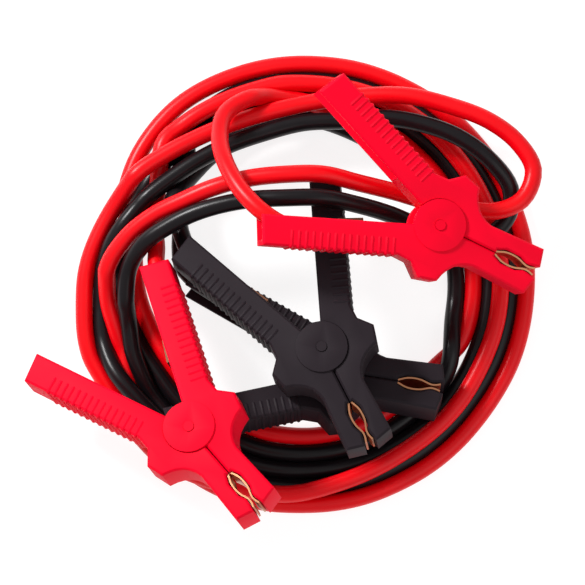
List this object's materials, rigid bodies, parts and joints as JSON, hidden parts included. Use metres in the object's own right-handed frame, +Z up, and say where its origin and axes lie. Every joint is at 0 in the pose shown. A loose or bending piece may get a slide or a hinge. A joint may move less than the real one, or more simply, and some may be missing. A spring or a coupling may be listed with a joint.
{
  "type": "jumper cable set",
  "caption": "Car jumper cables: red and black booster leads wound in one loose coil, each with a spring clamp of insulated handles and copper jaws at either end.",
  "frame": {"origin": "on the ground, below the middle of the box around the four clamps", "axes": "+Z up from the ground, +Y towards the top of the coil as it is seen from above"},
  "size_m": [0.2988, 0.2846, 0.096],
  "materials": {
    "red_plastic": "satin moulded plastic",
    "black_plastic": "satin moulded plastic",
    "red_cable": "smooth soft sheath",
    "black_cable": "smooth soft sheath",
    "copper": "copper-plated steel, satin"
  },
  "bodies": {
    "cables": {"coil": "red_cable", "red_turn": "red_cable", "black_turn": "black_cable", "top_red_lead": "red_cable", "side_red_lead": "red_cable", "upper_black_lead": "black_cable", "lower_black_lead": "black_cable", "top_red_clamp_cable_half": "red_plastic", "top_red_clamp_cable_contact_jaw": "copper", "top_red_clamp_cable_lug": "copper", "top_red_clamp_pivot_pin": "red_plastic", "side_red_clamp_cable_half": "red_plastic", "side_red_clamp_cable_contact_jaw": "copper", "side_red_clamp_cable_lug": "copper", "side_red_clamp_pivot_pin": "red_plastic", "upper_black_clamp_cable_half": "black_plastic", "upper_black_clamp_cable_contact_jaw": "copper", "upper_black_clamp_cable_lug": "copper", "upper_black_clamp_pivot_pin": "black_plastic", "lower_black_clamp_cable_half": "black_plastic", "lower_black_clamp_cable_contact_jaw": "copper", "lower_black_clamp_cable_lug": "copper", "lower_black_clamp_pivot_pin": "black_plastic"},
    "top_red_clamp_moving": {"top_red_clamp_moving_half": "red_plastic", "top_red_clamp_moving_contact_jaw": "copper"},
    "side_red_clamp_moving": {"side_red_clamp_moving_half": "red_plastic", "side_red_clamp_moving_contact_jaw": "copper"},
    "upper_black_clamp_moving": {"upper_black_clamp_moving_half": "black_plastic", "upper_black_clamp_moving_contact_jaw": "copper"},
    "lower_black_clamp_moving": {"lower_black_clamp_moving_half": "black_plastic", "lower_black_clamp_moving_contact_jaw": "copper"}
  },
  "joints": [
    {"name": "top_red_clamp_hinge", "type": "hinge", "parent": "cables", "child": "top_red_clamp_moving", "pos_m": [0.08711, 0.04379, 0.068], "axis": [0.1574, -0.0734, 0.9848], "range_deg": [0, 30], "stiffness_Nm_per_rad": 4, "springref_deg": -17.19},
    {"name": "side_red_clamp_hinge", "type": "hinge", "parent": "cables", "child": "side_red_clamp_moving", "pos_m": [-0.05139, -0.07421, 0.0652], "axis": [0.179, -0.2096, -0.9613], "range_deg": [0, 30], "stiffness_Nm_per_rad": 4, "springref_deg": -17.19},
    {"name": "upper_black_clamp_hinge", "type": "hinge", "parent": "cables", "child": "upper_black_clamp_moving", "pos_m": [0.02261, -0.02721, 0.0545], "axis": [-0.0775, 0.1554, 0.9848], "range_deg": [0, 30], "stiffness_Nm_per_rad": 4, "springref_deg": -17.19},
    {"name": "lower_black_clamp_hinge", "type": "hinge", "parent": "cables", "child": "lower_black_clamp_moving", "pos_m": [0.03011, -0.03921, 0.02587], "axis": [-0.0211, -0.2416, -0.9701], "range_deg": [0, 30], "stiffness_Nm_per_rad": 4, "springref_deg": -17.19}
  ]
}
